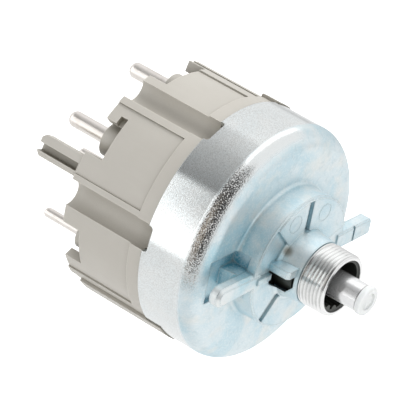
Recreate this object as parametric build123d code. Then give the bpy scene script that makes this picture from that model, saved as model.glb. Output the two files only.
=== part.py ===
from build123d import *
import math
import os

# Rotary and pull headlight switch, in millimetres.
# It is modelled on a vertical axis, with its front upwards and the seam between the metal cup
# and the plastic body at height 0. Angles run anticlockwise seen from the front, and start at
# the right-hand arm. The last step turns the front towards -Y.

# Clearances
SEAT = 0.02
RUN = 0.06
SLIDE = 0.10

# Working margins: how far a cutting shape runs past the surface, how far a joined one runs into it
CUT = 1.0
EMBED = 0.5

# Metal cup
CUP_R = 30.5
CUP_WALL = 2.0
CUP_DEPTH = 17.1
SHOULDER_R = 4.7
RIM_CHAMFER = 0.3

# Boss on the cup's front
BOSS_R = 17.15
BOSS_HEIGHT = 6.6
BOSS_WALL = 2.0
BOSS_EDGE = 0.35
PAD_RISE = 0.4
PAD_FROM = 16.0
PAD_TO = 132.0
DIP_DEPTH = 0.45
DIP_TO = 176.0
DIP_INNER_R = 10.0
DIP_RIM = 0.4
DIP_GROOVE = 0.25
DIP_GROOVE_DEPTH = 0.7

# Hub that carries the threaded neck
HUB_ROOT_R = 8.8
HUB_TIP_R = 8.1
HUB_LENGTH = 6.0
HUB_FLARE = 1.0
BASE_FILLET = 0.9

# Radial slots cast in the boss: angle, inner radius, outer radius
SLOTS = [(89.6, 8.6, 16.7), (228.2, 9.1, 16.7)]
SLOT_WIDTH = 1.85
SLOT_DEPTH = 0.7

# Ejector marks on the boss: angle, radius from the axis
EJECTOR_MARKS = [(113.0, 13.3), (62.0, 13.2)]
EJECTOR_R = 2.3
EJECTOR_LINE = 0.2
EJECTOR_DEPTH = 0.05

# Arms, their ribs and the pockets round them
ARM_WIDTH = 4.4
ARM_THICK = 2.7
LEFT_ARM_REACH = 30.2
RIGHT_ARM_REACH = 28.2
ARM_EDGE = 0.4
ARM_CORNER = 0.9
PADDLE_R = 2.6
PADDLE_EDGE = 0.8
ARM_GROOVE_AT = 20.8
ARM_GROOVE_WIDTH = 0.7
ARM_GROOVE_DEPTH = 0.5
ARM_BAR = (10.9, 15.8)
ARM_BAR_WIDTH = 1.6
ARM_BAR_RISE = 0.9
RIB_REACH = 20.9
RIB_SLANT = 0.9
POCKET_HALF = 5.6
POCKET_REACH = 26.0
POCKET_DEPTH = 1.0
FLAT_AT = 16.2

# Post and window beside the hub
POST_FROM = 7.4
POST_TO = 11.2
POST_SIDE = 3.6
POST_THICK = 2.0
POST_HEIGHT = 5.3
POST_BEVEL = 0.7
WINDOW_OUT = 10.9
WINDOW_IN = 5.2
WINDOW_FAR = 5.6
WINDOW_NEAR = 2.2
WINDOW_HEIGHT = 5.0
WINDOW_TOP = 1.6
WINDOW_STEP = 1.6

# Threaded neck
NECK_R = 8.0
NECK_BORE_R = 6.8
NECK_LENGTH = 7.2
NECK_SHANK_R = 7.35
NECK_SHANK = 2.2
NECK_CHAMFER = 0.2

# Liner in the neck
LINER_WALL = 0.7
LINER_WEB = 3.5
LINER_RECESS = 0.5
LINER_LUG_R = 0.9
LINER_LUGS = [236.0, 262.0]
LINER_LUG_LENGTH = 3.0

# Shaft and its light rod
SHAFT_R = 3.5
SHAFT_REACH = 6.5
SHAFT_CORE_R = 2.1
SHAFT_CORE_DEPTH = 30.0
SHAFT_END_DISC = 0.9
TIP_R = 3.75
TIP_LENGTH = 1.4
TIP_EDGE = 0.5
TIP_HOLE_R = 2.2
TIP_HOLE_DEPTH = 0.5
STRIP_WIDTH = 1.6
STRIP_PROUD = 0.2
STRIP_ANGLE = -124.9
PULL_STEP = 5.0
PULL_STEPS = 2

# Bearing and rotor
ROTOR_HUB_R = 9.0
BEARING_WALL = 1.5
BEARING_LENGTH = 8.3
FLANGE_CLEAR = 4.0
FLANGE_THICK = 6.0
FLANGE_GAP = 2.0
BELL_R = 14.6
BELL_WALL = 1.6
BELL_DEPTH = 13.0
CONTACT_FLANGE_GAP = 0.6
CONTACT_FLANGE_THICK = 3.5
ROTOR_HUB_REAR = 3.0

# Detent
DETENT_STEP = 36.0
BALL_ANGLES = (90.0, 270.0)
DETENT_R = 18.0
BALL_R = 2.2
BALL_DIP = 0.45
BALL_FIT = 0.05
RING_IN_R = 12.5
RING_INSET = 0.4
RING_THICK = 2.0
PEG_R = 1.2
PEG_INSET = 2.8
PEG_COUNT = 3
PEG_START = 30.0
PEG_PROUD = 0.4
SPRING_WIRE_R = 0.22
DETENT_SPRING_R = 1.6
BALL_BORE_FLOOR = 0.9

# Pull detent in the rotor hub
PULL_BALL_R = 1.2
PULL_BALL_ABOVE = 1.5
PULL_GROOVE = 0.3
BAND_WALL = 0.5
BAND_WIDTH = 2.0
BAND_SPLIT = 1.5
PULL_SPRING_R = 0.8
PULL_WIRE_R = 0.18

# Key and clip on the shaft
KEY_WIDTH = 2.0
KEY_OUT_R = 4.8
KEY_IN_R = 2.9
KEY_FROM = 3.6
KEY_LENGTH = 6.5
CLIP_OUT_R = 5.2
CLIP_IN_R = 2.9
CLIP_THICK = 0.8
CLIP_MOUTH = 4.2

# Plastic connector body
BODY_INSET = 0.9
BODY_WALL = 4.4
BODY_LENGTH = 19.0
FLOOR_THICK = 3.0
SPIGOT_LENGTH = 6.0
COLLAR_HEIGHT = 5.1
COLLAR_WALL = 2.4
BAND_RISE = 0.45
FLANGE_BAND = 3.7
RAIL_RISE = 0.4
FLUTE_R = 3.35
FLUTE_WALL = 1.4
FLUTE_OFFSET = 0.1
FLUTES = [112.0, 170.2]
FLUTE_PAST_SEAM = 1.6
RIM_NOTCH_WIDTH = 6.6
RIM_NOTCH_ROUND = 0.95
# Gaps in the collar, as pairs of angles
COLLAR_GAPS = [(72.0, 100.6), (131.6, 149.6), (185.9, 206.8), (232.0, 250.0), (292.0, 318.0), (352.0, 378.0)]
# Raised rails along the body: start angle, end angle
RAILS = [(63.5, 68.0), (70.5, 76.8), (118.6, 122.3), (160.8, 163.6), (215.4, 221.0)]
LATCH_HOLE = (127.6, 131.6, 2.1, 1.6)
# Broad ribs that run on as tabs over the cup's skirt: two angles, rear height, length past the seam
SKIRT_TABS = [(221.0, 238.0, -20.8, 4.5), (52.5, 63.5, -4.6, 0.8)]
TAB_THICK = 0.3

# Guide finger at the rear
FINGER = (151.8, 162.6)
FINGER_INSET = 0.3
FINGER_THICK = 2.9
FINGER_LENGTH = 12.6
FINGER_GROOVE = (156.2, 160.2)
FINGER_GROOVE_DEPTH = 1.9
FINGER_BEVEL = 1.0

# Radii that follow from the cup's
CUP_BORE_R = CUP_R - CUP_WALL
BODY_R = CUP_R - BODY_INSET
BODY_BORE_R = BODY_R - BODY_WALL
FINGER_OUT_R = BODY_R - FINGER_INSET
FLANGE_R = CUP_BORE_R - FLANGE_CLEAR
CONTACT_FLANGE_R = BODY_BORE_R - CONTACT_FLANGE_GAP
RING_OUT_R = CUP_R - SHOULDER_R - RING_INSET
PEG_AT_R = RING_OUT_R - PEG_INSET

# Connector pins: name, radius from the axis, angle, pin radius
INNER_PIN_R = 11.2
PIN_CIRCLE_INSET = 7.1
PIN_CIRCLE = BODY_R - PIN_CIRCLE_INSET
PIN_WIDE_R = 2.0
PIN_FINE_R = 1.25
PINS = [
    ("pin_1", PIN_CIRCLE, 79.6, PIN_WIDE_R),
    ("pin_2", PIN_CIRCLE, 137.2, PIN_WIDE_R),
    ("pin_3", PIN_CIRCLE, 205.6, PIN_FINE_R),
    ("pin_4", PIN_CIRCLE, 265.0, PIN_WIDE_R),
    ("pin_5", PIN_CIRCLE, 295.0, PIN_FINE_R),
    ("pin_6", PIN_CIRCLE, 325.0, PIN_WIDE_R),
    ("pin_7", PIN_CIRCLE, 355.0, PIN_FINE_R),
    ("pin_8", PIN_CIRCLE, 25.0, PIN_WIDE_R),
    ("pin_9", INNER_PIN_R, 161.0, PIN_FINE_R),
    ("pin_10", INNER_PIN_R, 240.0, PIN_FINE_R),
]
PIN_STEM_MORE = 0.3
PIN_REACH = 17.5
PIN_HEAD_MORE = 0.2
PIN_HEAD = 1.2
PIN_DOME = 0.8
TOWER_HEIGHT = 5.0
TOWER_MORE = 2.3

# Contact bridges on the rotor
BRIDGE_COUNT = 3
BRIDGE_HALF_ANGLE = 30.0
BRIDGE_HALF_WIDTH = 1.7
BRIDGE_THICK = 0.8
BRIDGE_PIP_R = 1.1
BRIDGE_PIP = 0.7
BRIDGE_GAP = 0.1
BRIDGE_POST_ANGLE = 18.0
BRIDGE_POST_R = 0.8
BRIDGE_SPRING_R = 1.4
SPRING_POCKET = 1.5
POCKET_CLEAR = 0.4
BRIDGE_POST_PROUD = 0.3
BRIDGE_START = 52.0
BRIDGE_PIP_INSET = 4.0

# Slider for the fog-lamp contacts
SLIDER_HALF_X = 4.0
SLIDER_HALF_Y = 7.9
SLIDER_HEIGHT = 5.0
SLIDER_ABOVE_FLOOR = 0.8
FORK_THICK = 1.4
FORK_R = 2.4
TONGUE_WIDTH = 2.0
TONGUE_DEPTH = 1.0
GUIDE_THICK = 2.2
GUIDE_HALF_X = 3.0
GUIDE_HEIGHT = 13.5
FOG_STRIP = 0.5
FOG_PIP = 0.5
FOG_PIP_R = 0.8
FOG_STRIP_INSET = 1.0
LEAF_WIDTH = 2.0
LEAF_HEIGHT = 11.0
LEAF_AT_Y = 3.6

# Heights along the axis, worked out from the sizes above
FACE_Z = CUP_DEPTH
FACE_IN_Z = FACE_Z - CUP_WALL
BOSS_Z = FACE_Z + BOSS_HEIGHT
BOSS_IN_Z = BOSS_Z - BOSS_WALL
HUB_Z = BOSS_Z + HUB_LENGTH
NECK_Z = HUB_Z + NECK_LENGTH
NECK_MID_Z = (HUB_Z + NECK_Z) / 2
BEARING_TOP_Z = BOSS_IN_Z
BEARING_BOTTOM_Z = BEARING_TOP_Z - BEARING_LENGTH
SHANK_Z = HUB_Z - NECK_SHANK
RING_Z = FACE_IN_Z - RING_THICK
FLANGE_TOP_Z = RING_Z - FLANGE_GAP
FLANGE_BOTTOM_Z = FLANGE_TOP_Z - FLANGE_THICK
CONTACT_FLANGE_Z = FLANGE_BOTTOM_Z - BELL_DEPTH
FLOOR_REAR_Z = -BODY_LENGTH
FLOOR_Z = FLOOR_REAR_Z + FLOOR_THICK
COLLAR_Z = FLOOR_REAR_Z - COLLAR_HEIGHT
HEAD_Z = FLOOR_Z + PIN_HEAD
PIN_TIP_Z = FLOOR_REAR_Z - PIN_REACH
TOWER_Z = FLOOR_REAR_Z - TOWER_HEIGHT
SHAFT_END_Z = NECK_Z + SHAFT_REACH
SLIDER_Z = FLOOR_Z + SLIDER_ABOVE_FLOOR
FORK_Z = SLIDER_Z + (SLIDER_HEIGHT - FORK_THICK) / 2
SHAFT_REAR_Z = FORK_Z - SLIDE - SHAFT_END_DISC
PULL_TRAVEL = PULL_STEP * PULL_STEPS
HUB_REAR_Z = ROTOR_HUB_REAR
CLIP_Z = HUB_REAR_Z - 2 * SLIDE - PULL_TRAVEL - CLIP_THICK
BALL_Z = RING_Z - BALL_FIT - BALL_R
PULL_BALL_Z = FLANGE_TOP_Z + PULL_BALL_ABOVE
SHAFT_BORE_R = SHAFT_R + RUN


def ring(outer, z0, z1, inner=0.0):
    """A disc, or a ring where an inner radius is given, between two heights."""
    solid = Pos(0, 0, z0) * Cylinder(outer, z1 - z0, align=(Align.CENTER, Align.CENTER, Align.MIN))
    if inner > 0:
        margin = 1.0
        tall = z1 - z0 + 2 * margin
        hole = Cylinder(inner, tall, align=(Align.CENTER, Align.CENTER, Align.MIN))
        solid -= Pos(0, 0, z0 - margin) * hole
    return solid


def block(x0, x1, y0, y1, z0, z1):
    """A box between two corners."""
    return Pos((x0 + x1) / 2, (y0 + y1) / 2, (z0 + z1) / 2) * Box(x1 - x0, y1 - y0, z1 - z0)


def at(angle, radius, z=0.0):
    """The place at an angle and a radius about the switch's axis."""
    turn = math.radians(angle)
    return Pos(radius * math.cos(turn), radius * math.sin(turn), z)


def sector(inner, outer, z0, z1, start, end):
    """A ring segment between two angles."""
    far = CenterArc((0, 0), outer, start, end - start)
    near = CenterArc((0, 0), inner, start, end - start)
    outline = [far, Line(far @ 1, near @ 1), near, Line(near @ 0, far @ 0)]
    return Pos(0, 0, z0) * extrude(make_face(outline), amount=z1 - z0)


def turned(*lines):
    """A solid of revolution about the axis, from lines and arcs drawn in the radius-height plane."""
    profile = make_face([Plane.XZ * line for line in lines])
    return revolve(profile, Axis.Z)


def coil(radius, height, turns, wire):
    """A compression spring that stands on height 0."""
    path = Helix(pitch=(height - 2 * wire) / turns, height=height - 2 * wire, radius=radius)
    start = Plane(origin=path @ 0, z_dir=path % 0)
    section = start * RegularPolygon(wire, 6)
    return Pos(0, 0, wire) * sweep(section, path=path, is_frenet=True)


def cup_shell():
    """The cup with its rounded shoulder, boss and hub, hollowed from behind."""
    arc_z = FACE_Z - SHOULDER_R
    arc_r = CUP_R - SHOULDER_R
    inner_arc = SHOULDER_R - CUP_WALL
    bore = ROTOR_HUB_R + RUN
    shank = NECK_SHANK_R + SEAT
    outer = [
        Line((CUP_R - RIM_CHAMFER, 0), (CUP_R, RIM_CHAMFER)),
        Line((CUP_R, RIM_CHAMFER), (CUP_R, arc_z)),
        CenterArc((arc_r, arc_z), SHOULDER_R, 0, 90),
        Line((arc_r, FACE_Z), (BOSS_R + BASE_FILLET, FACE_Z)),
        CenterArc((BOSS_R + BASE_FILLET, FACE_Z + BASE_FILLET), BASE_FILLET, 180, 90),
        Line((BOSS_R, FACE_Z + BASE_FILLET), (BOSS_R, BOSS_Z - BOSS_EDGE)),
        Line((BOSS_R, BOSS_Z - BOSS_EDGE), (BOSS_R - BOSS_EDGE, BOSS_Z)),
        Line((BOSS_R - BOSS_EDGE, BOSS_Z), (HUB_ROOT_R + HUB_FLARE, BOSS_Z)),
        Line((HUB_ROOT_R + HUB_FLARE, BOSS_Z), (HUB_ROOT_R, BOSS_Z + HUB_FLARE / 2)),
        Line((HUB_ROOT_R, BOSS_Z + HUB_FLARE / 2), (HUB_TIP_R, HUB_Z)),
        Line((HUB_TIP_R, HUB_Z), (shank, HUB_Z)),
    ]
    inner = [
        Line((shank, HUB_Z), (shank, BEARING_TOP_Z)),
        Line((shank, BEARING_TOP_Z), (bore, BEARING_TOP_Z)),
        Line((bore, BEARING_TOP_Z), (bore, BEARING_BOTTOM_Z)),
        Line((bore, BEARING_BOTTOM_Z), (bore + BEARING_WALL, BEARING_BOTTOM_Z)),
        Line((bore + BEARING_WALL, BEARING_BOTTOM_Z), (bore + BEARING_WALL, BOSS_IN_Z)),
        Line((bore + BEARING_WALL, BOSS_IN_Z), (BOSS_R - BOSS_WALL, BOSS_IN_Z)),
        Line((BOSS_R - BOSS_WALL, BOSS_IN_Z), (BOSS_R - BOSS_WALL, FACE_IN_Z)),
        Line((BOSS_R - BOSS_WALL, FACE_IN_Z), (arc_r, FACE_IN_Z)),
        CenterArc((arc_r, arc_z), inner_arc, 0, 90),
        Line((CUP_BORE_R, arc_z), (CUP_BORE_R, 0)),
        Line((CUP_BORE_R, 0), (CUP_R - RIM_CHAMFER, 0)),
    ]
    return turned(*outer, *inner)


def square_arm():
    """The right-hand arm with its squared tip."""
    half = ARM_WIDTH / 2
    start = BOSS_R - BOSS_WALL - EMBED
    bar = block(start, RIGHT_ARM_REACH, -half, half, BOSS_Z - ARM_THICK, BOSS_Z + PAD_RISE)
    bar = fillet(bar.edges().filter_by(Axis.Z).sort_by(Axis.X)[-2:], ARM_CORNER)
    front = bar.faces().sort_by(Axis.Z)[-1]
    return chamfer(front.edges().sort_by(Axis.X)[1:], ARM_EDGE)


def paddle_arm():
    """The left-hand arm, which widens to a round paddle."""
    half = ARM_WIDTH / 2
    start = BOSS_R - BOSS_WALL - EMBED
    middle = LEFT_ARM_REACH - PADDLE_R
    sides = Polyline((start, half), (start, -half), (middle, -PADDLE_R), (middle, PADDLE_R), close=True)
    outline = make_face(sides) + Pos(middle, 0) * Circle(PADDLE_R)
    bar = Pos(0, 0, BOSS_Z - ARM_THICK) * extrude(outline, amount=ARM_THICK)
    front = bar.faces().sort_by(Axis.Z)[-1]
    return Rot(0, 0, 180) * chamfer(front.edges().sort_by(Axis.X)[1:], PADDLE_EDGE)


def arm_rib():
    """The slanted rib under an arm, along +X."""
    half = ARM_WIDTH / 2
    foot = FACE_Z - POCKET_DEPTH
    start = BOSS_R - BOSS_WALL
    top = BOSS_Z - ARM_THICK
    outline = Polyline((start, foot), (RIB_REACH, foot), (RIB_REACH - RIB_SLANT, top), (start, top), close=True)
    return extrude(make_face(Plane.XZ * outline), amount=half, both=True)


def front_housing():
    """The die-cast cup with its boss, arms, ribs, post and window."""
    body = cup_shell()
    body += sector(HUB_TIP_R - EMBED, BOSS_R - BOSS_EDGE, BOSS_Z, BOSS_Z + PAD_RISE, PAD_FROM, PAD_TO)
    dip_r = BOSS_R - DIP_RIM
    body -= sector(DIP_INNER_R, dip_r, BOSS_Z - DIP_DEPTH, BOSS_Z + CUT, PAD_TO, DIP_TO)
    body -= sector(dip_r - DIP_GROOVE, dip_r, BOSS_Z - DIP_GROOVE_DEPTH, BOSS_Z + CUT, PAD_TO, DIP_TO)
    body -= block(-POCKET_REACH, -FLAT_AT, -POCKET_HALF, POCKET_HALF, FACE_Z - POCKET_DEPTH, BOSS_Z - ARM_THICK)
    for side in (0, 180):
        body += Rot(0, 0, side) * arm_rib()
    body += paddle_arm()
    body += square_arm()
    groove_end = ARM_GROOVE_AT + ARM_GROOVE_WIDTH
    arm_z = BOSS_Z + PAD_RISE
    body -= block(ARM_GROOVE_AT, groove_end, -ARM_WIDTH, ARM_WIDTH, arm_z - ARM_GROOVE_DEPTH, arm_z + CUT)
    bar_z = BOSS_Z - DIP_DEPTH
    bar_half = ARM_BAR_WIDTH / 2
    body += block(-ARM_BAR[1], -ARM_BAR[0], -bar_half, bar_half, bar_z - EMBED, bar_z + ARM_BAR_RISE)
    for angle, inner, outer in SLOTS:
        slot = block(inner, outer, -SLOT_WIDTH / 2, SLOT_WIDTH / 2, BOSS_Z - SLOT_DEPTH, BOSS_Z + CUT)
        body -= Rot(0, 0, angle) * slot
    for angle, radius in EJECTOR_MARKS:
        rise = PAD_RISE if PAD_FROM < angle < PAD_TO else 0.0
        mark_z = BOSS_Z + rise - EJECTOR_DEPTH
        body -= at(angle, radius) * ring(EJECTOR_R, mark_z, mark_z + CUT, EJECTOR_R - EJECTOR_LINE)
    body -= window_cut()
    body += post()
    body -= ring(NECK_SHANK_R + SEAT, BEARING_TOP_Z, HUB_Z + CUT)
    for angle in FLUTES:
        body -= Rot(0, 0, angle) * rim_notch()
    for k in range(PEG_COUNT):
        body += at(peg_angle(k), PEG_AT_R) * ring(PEG_R, RING_Z - PEG_PROUD, FACE_IN_Z + EMBED)
    return body


def window_cut():
    """The opening beside the hub, on the left arm's side."""
    z0 = BOSS_IN_Z - 1
    z1 = BOSS_Z + WINDOW_HEIGHT
    side = POST_SIDE - POST_THICK
    outline = Polyline(
        (-WINDOW_OUT, side),
        (-WINDOW_OUT, -WINDOW_NEAR),
        (-WINDOW_IN, -WINDOW_FAR),
        (-WINDOW_IN, side),
        close=True,
    )
    plan = Pos(0, 0, z0) * extrude(make_face(outline), amount=z1 - z0)
    arch = Polyline(
        (side, z0),
        (side, z1),
        (-WINDOW_TOP, z1),
        (-WINDOW_FAR, BOSS_Z + WINDOW_STEP),
        (-WINDOW_FAR, z0),
        close=True,
    )
    return plan & extrude(make_face(Plane.YZ * arch), amount=-WINDOW_OUT)


def post():
    """The square post that guards the window."""
    near = POST_SIDE - POST_THICK
    solid = block(-POST_TO, -POST_FROM, near, POST_SIDE, BOSS_IN_Z + EMBED, BOSS_Z + POST_HEIGHT)
    top = solid.faces().sort_by(Axis.Z)[-1]
    return chamfer(top.edges().sort_by(Axis.X)[:1], POST_BEVEL)


def rim_notch():
    """The rounded notch in the cup's rim over a flute."""
    half = RIM_NOTCH_WIDTH / 2
    cut = block(CUP_BORE_R - CUT, CUP_R + CUT, -half, half, -1, FLUTE_PAST_SEAM)
    ends = cut.edges().filter_by(Axis.X).sort_by(Axis.Z)[-2:]
    return fillet(ends, RIM_NOTCH_ROUND)


def threaded_neck():
    """The steel neck pressed into the hub; its thread crests are the outer wall."""
    lip = NECK_CHAMFER
    return turned(
        Line((NECK_BORE_R, SHANK_Z), (NECK_SHANK_R, SHANK_Z)),
        Line((NECK_SHANK_R, SHANK_Z), (NECK_SHANK_R, HUB_Z)),
        Line((NECK_SHANK_R, HUB_Z), (NECK_R, HUB_Z)),
        Line((NECK_R, HUB_Z), (NECK_R, NECK_Z - lip)),
        Line((NECK_R, NECK_Z - lip), (NECK_R - lip, NECK_Z)),
        Line((NECK_R - lip, NECK_Z), (NECK_BORE_R + lip, NECK_Z)),
        Line((NECK_BORE_R + lip, NECK_Z), (NECK_BORE_R, NECK_Z - lip)),
        Line((NECK_BORE_R, NECK_Z - lip), (NECK_BORE_R, SHANK_Z)),
    )


def neck_liner():
    """The dark plastic liner that guides the shaft and lines the neck."""
    outer = NECK_BORE_R - SEAT
    wide = NECK_SHANK_R - SEAT
    inner = NECK_BORE_R - LINER_WALL
    web_z = BEARING_TOP_Z + LINER_WEB
    top = NECK_Z - LINER_RECESS
    body = turned(
        Line((SHAFT_BORE_R, BEARING_TOP_Z), (wide, BEARING_TOP_Z)),
        Line((wide, BEARING_TOP_Z), (wide, SHANK_Z - SEAT)),
        Line((wide, SHANK_Z - SEAT), (outer, SHANK_Z - SEAT)),
        Line((outer, SHANK_Z - SEAT), (outer, top)),
        Line((outer, top), (inner, top)),
        Line((inner, top), (inner, web_z)),
        Line((inner, web_z), (SHAFT_BORE_R, web_z)),
        Line((SHAFT_BORE_R, web_z), (SHAFT_BORE_R, BEARING_TOP_Z)),
    )
    for angle in LINER_LUGS:
        body += at(angle, inner) * ring(LINER_LUG_R, top - LINER_LUG_LENGTH, top)
    return body & (ring(outer, BEARING_TOP_Z, NECK_Z) + ring(wide, BEARING_TOP_Z, SHANK_Z - SEAT))


def shaft_tube():
    """The steel shaft, bored from the front, with a groove for the slider at its rear."""
    body = ring(SHAFT_R, SHAFT_REAR_Z, SHAFT_END_Z)
    body -= ring(SHAFT_R + CUT, FORK_Z - SLIDE, FORK_Z + FORK_THICK + SLIDE, FORK_R)
    body -= ring(SHAFT_R + CUT, CLIP_Z - SEAT, CLIP_Z + CLIP_THICK + SEAT, CLIP_IN_R - SEAT)
    body -= ring(SHAFT_CORE_R, SHAFT_END_Z - SHAFT_CORE_DEPTH, SHAFT_END_Z + CUT)
    half = KEY_WIDTH / 2 + SEAT
    body -= block(-half, half, KEY_IN_R - SEAT, SHAFT_R + CUT, KEY_FROM - SEAT, KEY_FROM + KEY_LENGTH + SEAT)
    for step in range(PULL_STEPS + 1):
        groove_z = PULL_BALL_Z - step * PULL_STEP
        body -= ring(SHAFT_R + CUT, groove_z - PULL_GROOVE, groove_z + PULL_GROOVE, SHAFT_R - PULL_GROOVE)
    body -= strip_shape(SEAT)
    return body


def strip_shape(gap):
    """The flat side of the light rod that shows along the shaft, or its groove with a gap."""
    half = STRIP_WIDTH / 2 + gap
    start = SHAFT_END_Z - SHAFT_CORE_DEPTH / 2 - gap
    inner = SHAFT_CORE_R - EMBED
    outer = SHAFT_R + STRIP_PROUD if gap > 0 else SHAFT_R - SEAT
    strip = block(inner, outer, -half, half, start, SHAFT_END_Z + CUT)
    return Rot(0, 0, STRIP_ANGLE) * strip


def light_rod():
    """The clear plastic rod in the shaft, with its round tip."""
    rod_r = SHAFT_CORE_R - SEAT
    rod_z = SHAFT_END_Z - SHAFT_CORE_DEPTH
    tip_z = SHAFT_END_Z + TIP_LENGTH
    body = ring(rod_r, rod_z, SHAFT_END_Z)
    strip = strip_shape(0.0)
    body += strip & ring(SHAFT_R, rod_z, SHAFT_END_Z)
    tip = ring(TIP_R, SHAFT_END_Z, tip_z)
    body += fillet(tip.edges().sort_by(Axis.Z)[-1], TIP_EDGE)
    body -= ring(TIP_HOLE_R, tip_z - TIP_HOLE_DEPTH, tip_z + CUT)
    return body


def drive_key():
    """The key that turns the rotor and lets the shaft slide."""
    half = KEY_WIDTH / 2
    return block(-half, half, KEY_IN_R, KEY_OUT_R, KEY_FROM, KEY_FROM + KEY_LENGTH)


def retaining_clip():
    """The open clip that stops the shaft at full pull."""
    body = ring(CLIP_OUT_R, CLIP_Z, CLIP_Z + CLIP_THICK, CLIP_IN_R)
    half = CLIP_MOUTH / 2
    body -= block(-half, half, -CLIP_OUT_R - CUT, 0, CLIP_Z - CUT, CLIP_Z + CLIP_THICK + CUT)
    return body


def peg_angle(k):
    """The angle of a peg that holds the detent ring."""
    return PEG_START + k * 360 / PEG_COUNT


def detent_ring():
    """The steel ring with the ball dimples, staked on pegs in the cup."""
    body = ring(RING_OUT_R, RING_Z, FACE_IN_Z, RING_IN_R)
    for k in range(round(360 / DETENT_STEP)):
        dimple_z = RING_Z + BALL_DIP - BALL_R
        body -= at(BALL_ANGLES[0] + k * DETENT_STEP, DETENT_R, dimple_z) * Sphere(BALL_R)
    for k in range(PEG_COUNT):
        body -= at(peg_angle(k), PEG_AT_R) * ring(PEG_R + SEAT, RING_Z - CUT, FACE_IN_Z + CUT)
    return body


def rotor():
    """The plastic rotor: bearing hub, detent flange, bell and contact flange."""
    body = ring(ROTOR_HUB_R, HUB_REAR_Z, BEARING_TOP_Z - 2 * SLIDE)
    body += ring(FLANGE_R, FLANGE_BOTTOM_Z, FLANGE_TOP_Z)
    body += ring(BELL_R, CONTACT_FLANGE_Z, FLANGE_BOTTOM_Z, BELL_R - BELL_WALL)
    flange_top = CONTACT_FLANGE_Z + CONTACT_FLANGE_THICK
    body += ring(CONTACT_FLANGE_R, CONTACT_FLANGE_Z, flange_top, BELL_R - BELL_WALL)
    body -= ring(SHAFT_BORE_R, HUB_REAR_Z - CUT, BEARING_TOP_Z + CUT)
    half = KEY_WIDTH / 2 + RUN
    body -= block(-half, half, 0, KEY_OUT_R + SLIDE, HUB_REAR_Z - CUT, BEARING_TOP_Z + CUT)
    for angle in BALL_ANGLES:
        floor = FLANGE_BOTTOM_Z + BALL_BORE_FLOOR
        body -= at(angle, DETENT_R) * ring(BALL_R + BALL_FIT, floor, FLANGE_TOP_Z + CUT)
    radial = ring(PULL_BALL_R + BALL_FIT, 0, ROTOR_HUB_R + CUT)
    body -= Pos(0, 0, PULL_BALL_Z) * Rot(90, 0, 0) * radial
    body -= ring(ROTOR_HUB_R + CUT, band_z(0) - SEAT, band_z(1) + SEAT, ROTOR_HUB_R - BAND_WALL - SEAT)
    for k in range(BRIDGE_COUNT):
        pocket = ring(BRIDGE_SPRING_R + POCKET_CLEAR, CONTACT_FLANGE_Z - CUT, spring_top_z())
        body -= at(bridge_angle(k), PIN_CIRCLE) * pocket
        for side in (-1, 1):
            place = at(bridge_angle(k) + side * BRIDGE_POST_ANGLE, PIN_CIRCLE)
            body += place * ring(BRIDGE_POST_R, bridge_z() - BRIDGE_POST_PROUD, CONTACT_FLANGE_Z + CUT)
    return body


def band_z(end):
    """The lower or upper height of the spring band round the rotor hub."""
    return PULL_BALL_Z - BAND_WIDTH / 2 + end * BAND_WIDTH


def bridge_z():
    """The rear height of a bridge's strip."""
    return HEAD_Z + BRIDGE_GAP + BRIDGE_PIP


def spring_top_z():
    """The height at which a bridge spring bears on the contact flange."""
    return CONTACT_FLANGE_Z + SPRING_POCKET


def bridge_angle(k):
    """The middle angle of a bridge."""
    return BRIDGE_START + k * 360 / BRIDGE_COUNT


def detent_ball(angle):
    """A steel ball at the crest height of the ring."""
    return at(angle, DETENT_R, BALL_Z) * Sphere(BALL_R)


def detent_spring(angle):
    """The spring behind a ball."""
    floor = FLANGE_BOTTOM_Z + BALL_BORE_FLOOR
    reach = math.sqrt(BALL_R**2 - DETENT_SPRING_R**2)
    return at(angle, DETENT_R, floor) * coil(DETENT_SPRING_R, BALL_Z - reach - floor, 3, SPRING_WIRE_R)


def pull_ball():
    """The ball that marks the pulled positions."""
    return Pos(0, -SHAFT_R - BALL_FIT / 2 - PULL_BALL_R, PULL_BALL_Z) * Sphere(PULL_BALL_R)


def pull_spring():
    """The spring between the pull ball and the band."""
    start = SHAFT_R + BALL_FIT / 2 + PULL_BALL_R + math.sqrt(PULL_BALL_R**2 - PULL_SPRING_R**2)
    length = ROTOR_HUB_R - BAND_WALL - start
    return Pos(0, -start, PULL_BALL_Z) * Rot(90, 0, 0) * coil(PULL_SPRING_R, length, 3, PULL_WIRE_R)


def spring_band():
    """The split band round the rotor hub that holds the pull spring."""
    body = ring(ROTOR_HUB_R - SEAT, band_z(0), band_z(1), ROTOR_HUB_R - BAND_WALL)
    body -= block(-BAND_SPLIT / 2, BAND_SPLIT / 2, 0, ROTOR_HUB_R + CUT, band_z(0) - CUT, band_z(1) + CUT)
    return body


def bridge(k):
    """A copper strip that joins two contact heads."""
    middle = bridge_angle(k)
    start = middle - BRIDGE_HALF_ANGLE
    end = middle + BRIDGE_HALF_ANGLE
    near = PIN_CIRCLE - BRIDGE_HALF_WIDTH
    far = PIN_CIRCLE + BRIDGE_HALF_WIDTH
    body = sector(near, far, bridge_z(), bridge_z() + BRIDGE_THICK, start, end)
    for side in (-1, 1):
        body -= at(middle + side * BRIDGE_POST_ANGLE, PIN_CIRCLE) * ring(BRIDGE_POST_R + RUN, FLOOR_Z, 0)
        pip = ring(BRIDGE_PIP_R, HEAD_Z + BRIDGE_GAP, bridge_z())
        body += at(middle + side * (BRIDGE_HALF_ANGLE - BRIDGE_PIP_INSET), PIN_CIRCLE) * pip
    return body


def bridge_spring(k):
    """The spring that presses a bridge on the contact heads."""
    foot = bridge_z() + BRIDGE_THICK
    height = spring_top_z() - foot
    return at(bridge_angle(k), PIN_CIRCLE, foot) * coil(BRIDGE_SPRING_R, height, 4, SPRING_WIRE_R)


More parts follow.
